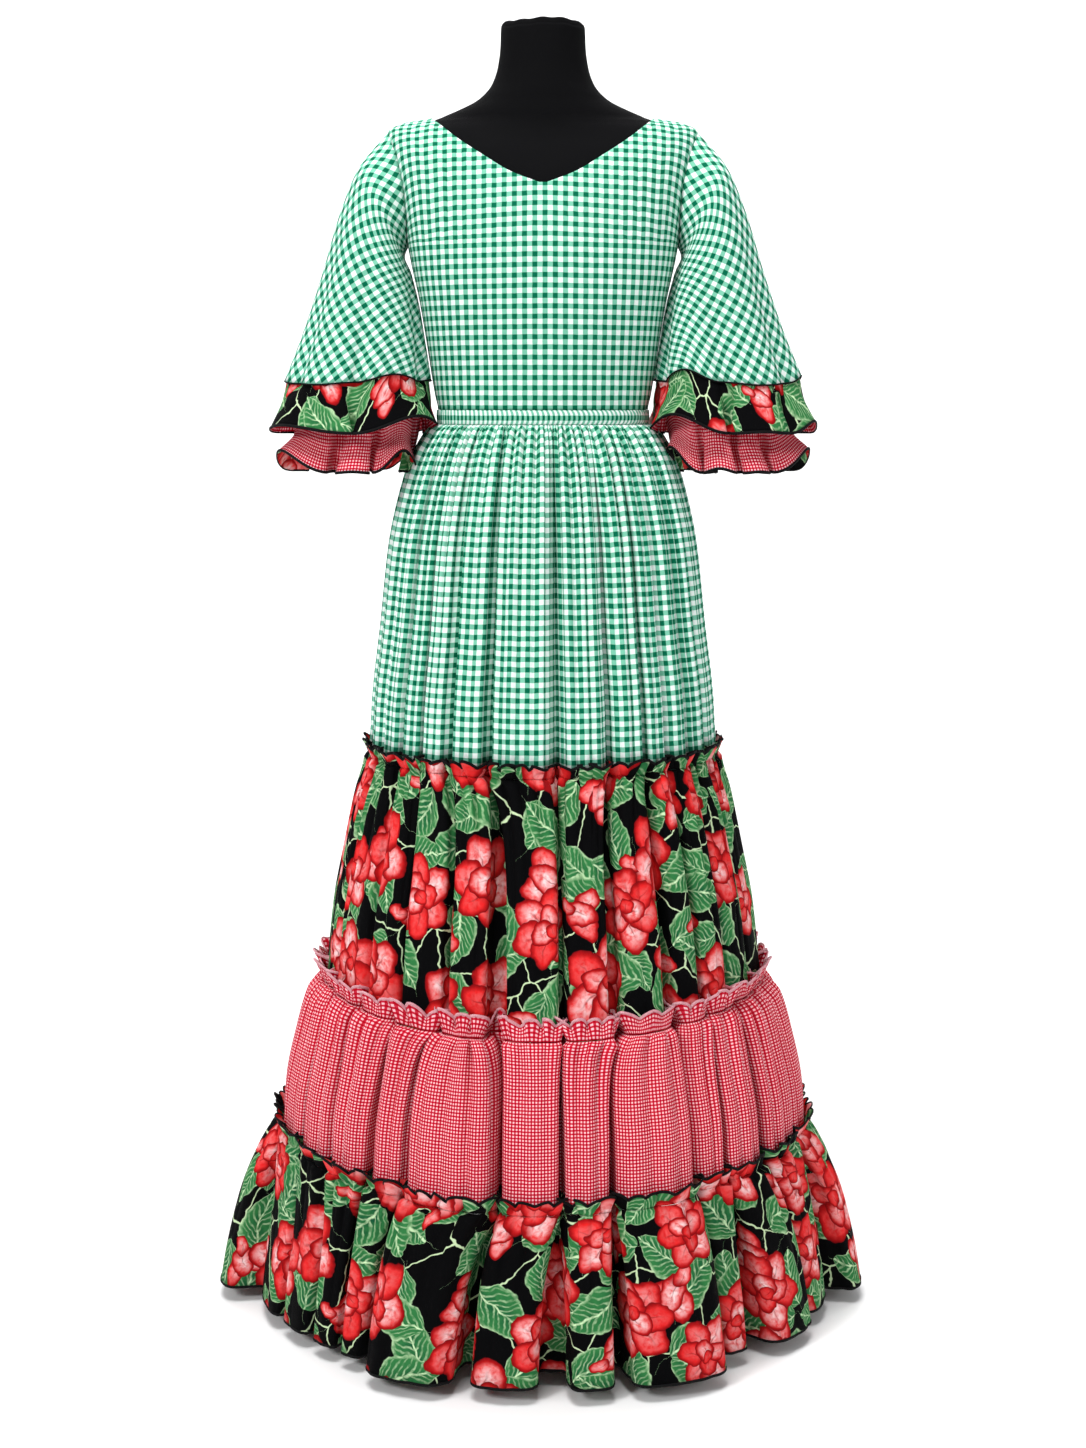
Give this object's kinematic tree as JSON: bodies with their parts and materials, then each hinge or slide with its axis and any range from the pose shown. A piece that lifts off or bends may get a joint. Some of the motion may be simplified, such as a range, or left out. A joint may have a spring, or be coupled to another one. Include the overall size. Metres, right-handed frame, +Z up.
{
  "type": "flamenco dress on a dress form",
  "caption": "Long ruffled dress with a V-necked bodice, gathered waist, flared layered sleeves and a tiered flounced skirt, on a limbless dress form with a pole and a disc base.",
  "frame": {"origin": "middle of the stand's underside, on the floor", "axes": "+Z up, the dress's front faces -Y, the wearer's left is +X"},
  "size_m": [0.8769, 0.7356, 1.692],
  "materials": {
    "green_gingham": "matt",
    "red_gingham": "matt",
    "floral_print": "matt",
    "black_jersey": "matt",
    "pole_steel": "satin",
    "base_paint": "satin"
  },
  "bodies": {
    "root": {"form_torso": "black_jersey", "stand_base": "base_paint", "stand_pole": "pole_steel", "bodice_front": "green_gingham", "bodice_back": "green_gingham", "waist_casing": "green_gingham", "sleeve_left": "green_gingham", "sleeve_right": "green_gingham", "cuff_floral_left": "floral_print", "cuff_floral_right": "floral_print", "cuff_red_left": "red_gingham", "cuff_red_right": "red_gingham", "skirt_tier_1_front": "green_gingham", "skirt_tier_1_back": "green_gingham", "skirt_tier_2_front": "floral_print", "skirt_tier_2_back": "floral_print", "skirt_tier_3_front": "red_gingham", "skirt_tier_3_back": "red_gingham", "skirt_tier_4_front": "floral_print", "skirt_tier_4_back": "floral_print"}
  },
  "joints": []
}
